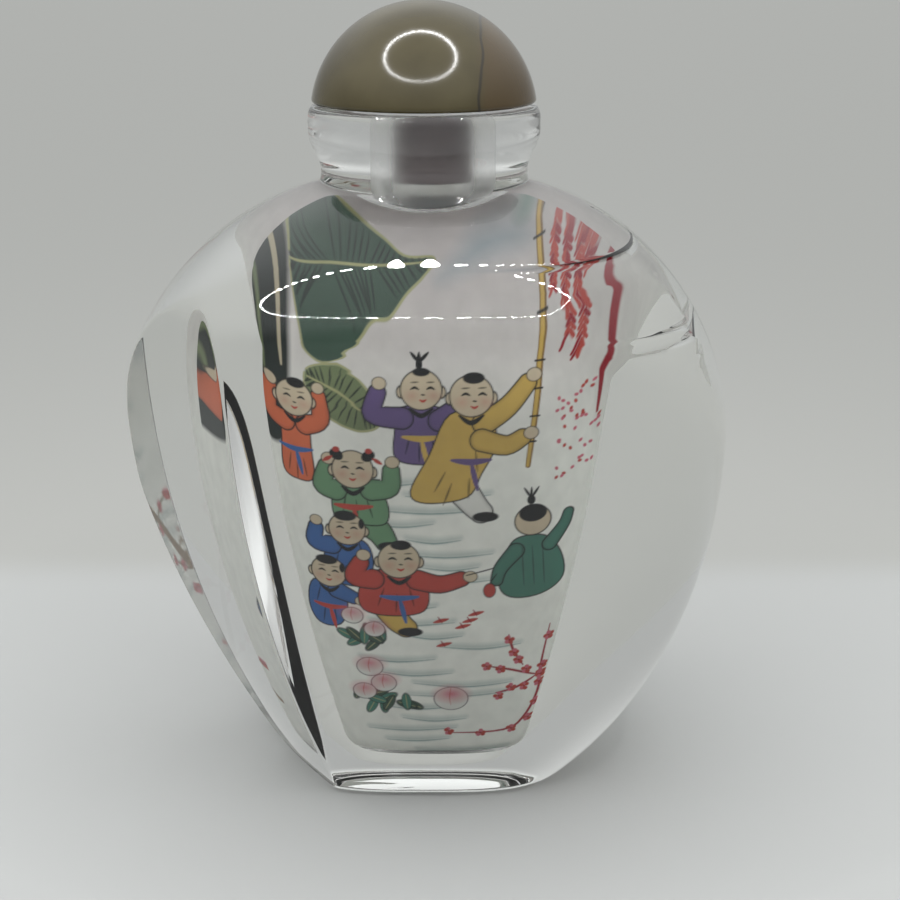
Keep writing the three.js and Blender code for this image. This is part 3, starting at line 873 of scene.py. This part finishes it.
def hardstone():
    """Polished olive-brown stone: soft clouds, a warm patch on the right and a thin dark vein."""
    material, nodes, links, shader = new_material("polished_hardstone")
    clouds = noise_mix(nodes, links, 0.38, 0.66, 90, colours=((0.038, 0.029, 0.009), (0.070, 0.057, 0.024)))
    place = nodes.new("ShaderNodeTexCoord")
    split = nodes.new("ShaderNodeSeparateXYZ")
    links.new(place.outputs["Object"], split.inputs["Vector"])
    warm = nodes.new("ShaderNodeMapRange")
    warm.interpolation_type = "SMOOTHSTEP"
    warm.inputs["From Min"].default_value = 0.0048
    warm.inputs["From Max"].default_value = 0.0064
    warm.inputs["To Max"].default_value = 0.6
    links.new(split.outputs["X"], warm.inputs["Value"])
    patch = nodes.new("ShaderNodeMix")
    patch.data_type = "RGBA"
    patch.inputs["B"].default_value = (0.068, 0.040, 0.015, 1)
    links.new(warm.outputs["Result"], patch.inputs["Factor"])
    links.new(clouds.outputs["Result"], patch.inputs["A"])
    # Vein: a thin wavering sheet through the stone
    waver = nodes.new("ShaderNodeTexNoise")
    waver.inputs["Scale"].default_value = 160
    offset = nodes.new("ShaderNodeMath")
    offset.operation = "MULTIPLY_ADD"
    offset.inputs[1].default_value = 0.0016
    links.new(place.outputs["Object"], waver.inputs["Vector"])
    links.new(waver.outputs["Fac"], offset.inputs[0])
    links.new(split.outputs["X"], offset.inputs[2])
    away = nodes.new("ShaderNodeMath")
    away.operation = "SUBTRACT"
    away.inputs[1].default_value = 0.0064
    links.new(offset.outputs[0], away.inputs[0])
    size = nodes.new("ShaderNodeMath")
    size.operation = "ABSOLUTE"
    links.new(away.outputs[0], size.inputs[0])
    thin = nodes.new("ShaderNodeMapRange")
    thin.inputs["From Min"].default_value = 0.00006
    thin.inputs["From Max"].default_value = 0.0002
    thin.inputs["To Min"].default_value = 0.75
    thin.inputs["To Max"].default_value = 0
    links.new(size.outputs[0], thin.inputs["Value"])
    vein = nodes.new("ShaderNodeMix")
    vein.data_type = "RGBA"
    vein.inputs["B"].default_value = (0.012, 0.01, 0.007, 1)
    links.new(thin.outputs["Result"], vein.inputs["Factor"])
    links.new(patch.outputs["Result"], vein.inputs["A"])
    links.new(vein.outputs["Result"], shader.inputs["Base Color"])
    shader.inputs["Roughness"].default_value = 0.12
    return material


def plug_stuff():
    """Dark purple-grey cork sleeve with fine paler upright streaks."""
    material, nodes, links, shader = new_material("plug_stuff")
    colours = ((0.09, 0.065, 0.075), (0.22, 0.175, 0.18))
    streaks = noise_mix(nodes, links, 0.3, 0.7, 260, 6, (1, 1, 0.25), colours)
    links.new(streaks.outputs["Result"], shader.inputs["Base Color"])
    shader.inputs["Roughness"].default_value = 0.7
    return material


def inside_paint():
    """Watercolour and ink on ground glass: painted colours with a faint grain, part lit from behind."""
    material, nodes, links, shader = new_material("inside_paint")
    paint = nodes.new("ShaderNodeVertexColor")
    paint.layer_name = "paint"
    grain = noise_mix(nodes, links, 0.25, 0.75, 500, 5, colours=((0.88, 0.88, 0.88), (1, 1, 1)))
    tint = nodes.new("ShaderNodeMix")
    tint.data_type = "RGBA"
    tint.blend_type = "MULTIPLY"
    tint.inputs["Factor"].default_value = 1
    links.new(paint.outputs["Color"], tint.inputs["A"])
    links.new(grain.outputs["Result"], tint.inputs["B"])
    links.new(tint.outputs["Result"], shader.inputs["Base Color"])
    shader.inputs["Roughness"].default_value = 0.9
    shader.inputs["Specular IOR Level"].default_value = 0
    through = nodes.new("ShaderNodeBsdfTranslucent")
    links.new(tint.outputs["Result"], through.inputs["Color"])
    blend = nodes.new("ShaderNodeMixShader")
    blend.inputs["Fac"].default_value = 0.08
    links.new(shader.outputs["BSDF"], blend.inputs[1])
    links.new(through.outputs["BSDF"], blend.inputs[2])
    links.new(blend.outputs["Shader"], nodes["Material Output"].inputs["Surface"])
    return material


# ---------------------------------------------------------------- pieces

body = glass_body(clear_glass(), ground_glass())
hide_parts("bottle_body")
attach(body, "root")

cap = stopper_cap()
cap.data.materials.append(hardstone())
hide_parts("stopper_cap")
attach(cap, "root")

plug = stopper_plug()
plug.data.materials.append(plug_stuff())
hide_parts("stopper_plug")
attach(plug, "root")


paint_material = inside_paint()
bands = np.linspace(SHEET_LOW, SHEET_HIGH, 4)
for name, low, high in zip(("low", "middle", "top"), bands, bands[1:]):
    part = sheet(f"painting_front_{name}", -1, low, high, 250, 390, paint_front, paint_material)
    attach(part, "root")
part = sheet("painting_back", 1, SHEET_LOW, SHEET_HIGH, 330, 240, paint_back, paint_material)
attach(part, "root")


# ---------------------------------------------------------------- stage, light, camera

def pale_floor():
    """Pale table with painted shade: it turns a little greyer beyond the bottle, in place of a backdrop wall in
    shade.
    """
    material, nodes, links, shader = new_material("pale_floor")
    place = nodes.new("ShaderNodeTexCoord")
    split = nodes.new("ShaderNodeSeparateXYZ")
    far_shade_ramp = nodes.new("ShaderNodeMapRange")
    far_shade_ramp.interpolation_type = "SMOOTHERSTEP"
    far_shade_ramp.inputs["From Min"].default_value = 0.045
    far_shade_ramp.inputs["From Max"].default_value = 0.062
    mix = nodes.new("ShaderNodeMix")
    mix.data_type = "RGBA"
    # A is the pale table near the bottle; B, further back, is painted shade standing for a shaded backdrop wall
    mix.inputs["A"].default_value = (0.43, 0.435, 0.43, 1)
    mix.inputs["B"].default_value = (0.385, 0.385, 0.37, 1)
    links.new(place.outputs["Object"], split.inputs["Vector"])
    links.new(split.outputs["Y"], far_shade_ramp.inputs["Value"])
    links.new(far_shade_ramp.outputs["Result"], mix.inputs["Factor"])
    links.new(mix.outputs["Result"], shader.inputs["Base Color"])
    shader.inputs["Roughness"].default_value = 0.85
    shader.inputs["Specular IOR Level"].default_value = 0.2
    return material


reach = 60
drop = -0.0001
corners = [(-reach, -reach, drop), (reach, -reach, drop), (reach, reach, drop), (-reach, reach, drop)]
floor = new_object("table", corners, [(0, 1, 2, 3)])
floor.data.materials.append(pale_floor())

camera_data = bpy.data.cameras.new("camera")
camera_data.sensor_width = 36
camera_data.lens = 63.84
camera_data.clip_start = 0.01
camera_data.clip_end = 200
camera = bpy.data.objects.new("camera", camera_data)
camera.location = (0.0026, -0.162, 0.089)
camera.rotation_euler = (math.radians(71.8), 0, 0)
bpy.context.scene.collection.objects.link(camera)
bpy.context.scene.camera = camera

# A ring lamp above and in front of the bottle, as many small lamps facing down
RING_LAMPS = 72
RING_RADIUS = 0.0823
RING_CENTRE = Vector((-0.008, -0.0741, 0.200))
lamp_data = bpy.data.lights.new("ring_lamp", "AREA")
lamp_data.shape = "DISK"
lamp_data.size = 0.004
lamp_data.energy = 0.004
for i in range(RING_LAMPS):
    turn = 2 * math.pi * i / RING_LAMPS
    lamp = bpy.data.objects.new(f"ring_lamp_{i:02d}", lamp_data)
    lamp.location = RING_CENTRE + Vector((RING_RADIUS * math.cos(turn), RING_RADIUS * math.sin(turn), 0))
    lamp.visible_camera = False
    bpy.context.scene.collection.objects.link(lamp)

world = bpy.data.worlds.new("soft_room")
world.use_nodes = True
bpy.context.scene.world = world
world_nodes, world_links = world.node_tree.nodes, world.node_tree.links
background = world_nodes["Background"]
background.inputs["Color"].default_value = (0.98, 1.0, 1.0, 1)
direction = world_nodes.new("ShaderNodeTexCoord")
world_split = world_nodes.new("ShaderNodeSeparateXYZ")
overhead = world_nodes.new("ShaderNodeMapRange")
overhead.interpolation_type = "SMOOTHSTEP"
overhead.inputs["From Min"].default_value = 0.05
overhead.inputs["From Max"].default_value = 0.75
overhead.inputs["To Min"].default_value = 0.45
overhead.inputs["To Max"].default_value = 1.24
world_links.new(direction.outputs["Generated"], world_split.inputs["Vector"])
world_links.new(world_split.outputs["Z"], overhead.inputs["Value"])
world_links.new(overhead.outputs["Result"], background.inputs["Strength"])

bpy.context.scene.view_settings.view_transform = "Standard"
